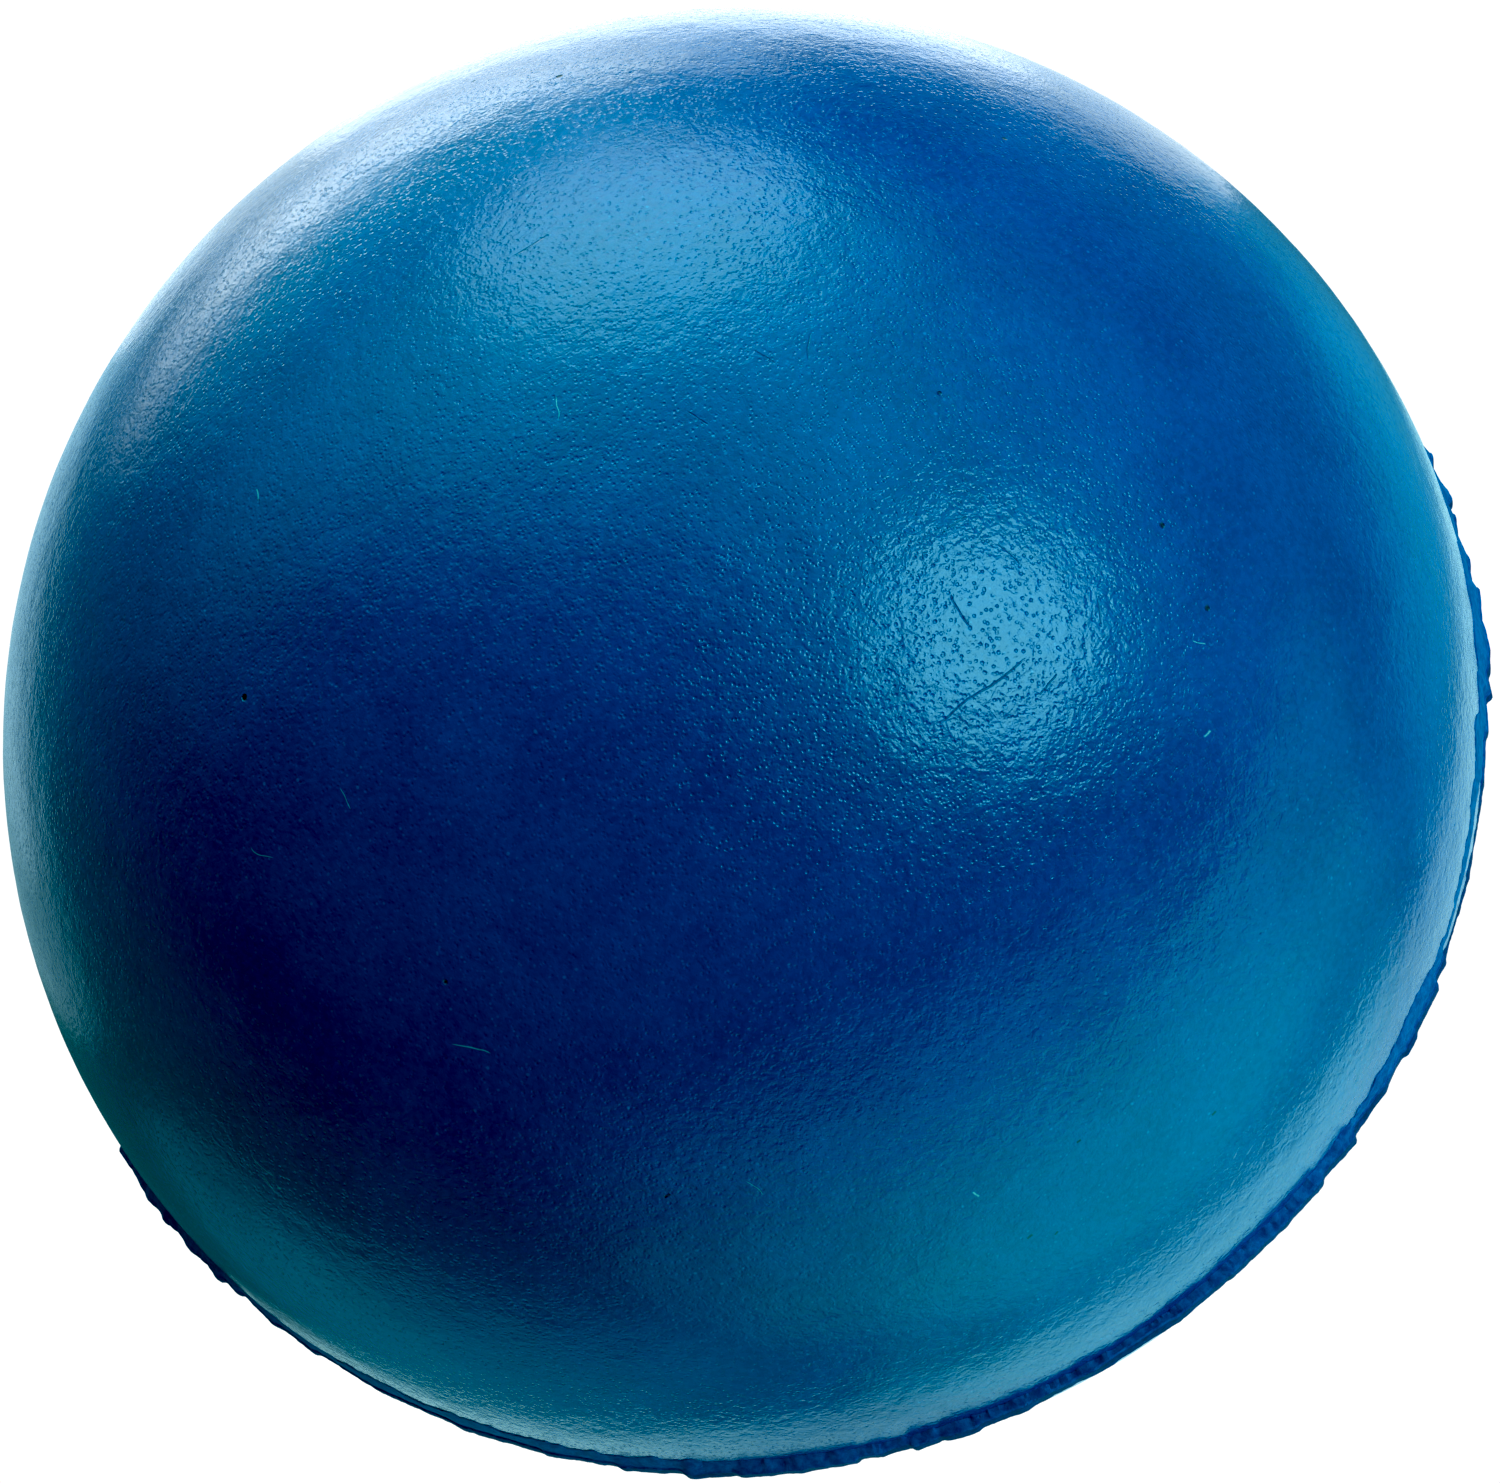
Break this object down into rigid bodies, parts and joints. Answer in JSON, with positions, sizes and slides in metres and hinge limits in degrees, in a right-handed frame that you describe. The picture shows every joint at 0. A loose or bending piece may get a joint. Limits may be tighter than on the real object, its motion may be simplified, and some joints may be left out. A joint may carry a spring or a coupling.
{
  "type": "croquet ball",
  "caption": "Blue moulded croquet ball: a two-part hard casing with a trimmed parting line round a cork-and-rubber core.",
  "frame": {"origin": "centre of the core, in the plane where the two halves of the casing meet", "axes": "+Z through the moulding pole of the upper half, the parting line lies at Z = 0, and -Y is the side where the lower half is set in furthest"},
  "size_m": [0.0932, 0.0929, 0.0913],
  "materials": {
    "cork": "fine granulated cork, dry and matte",
    "composition": "pressed cork granules in dark rubber binder",
    "adhesive": "set amber adhesive, slightly translucent",
    "casing": "satin-gloss moulded skin with fine orange peel, pits and light scratches",
    "weld": "melted bead, dull",
    "flash": "knife-cut and torn edge, dull, darker than the skin"
  },
  "bodies": {
    "root": {"core_pill": "cork", "core_ball": "composition", "bond_layer": "adhesive", "lower_shell": "casing", "upper_shell": "casing", "seam_weld": "weld", "parting_flash": "flash"}
  },
  "joints": []
}
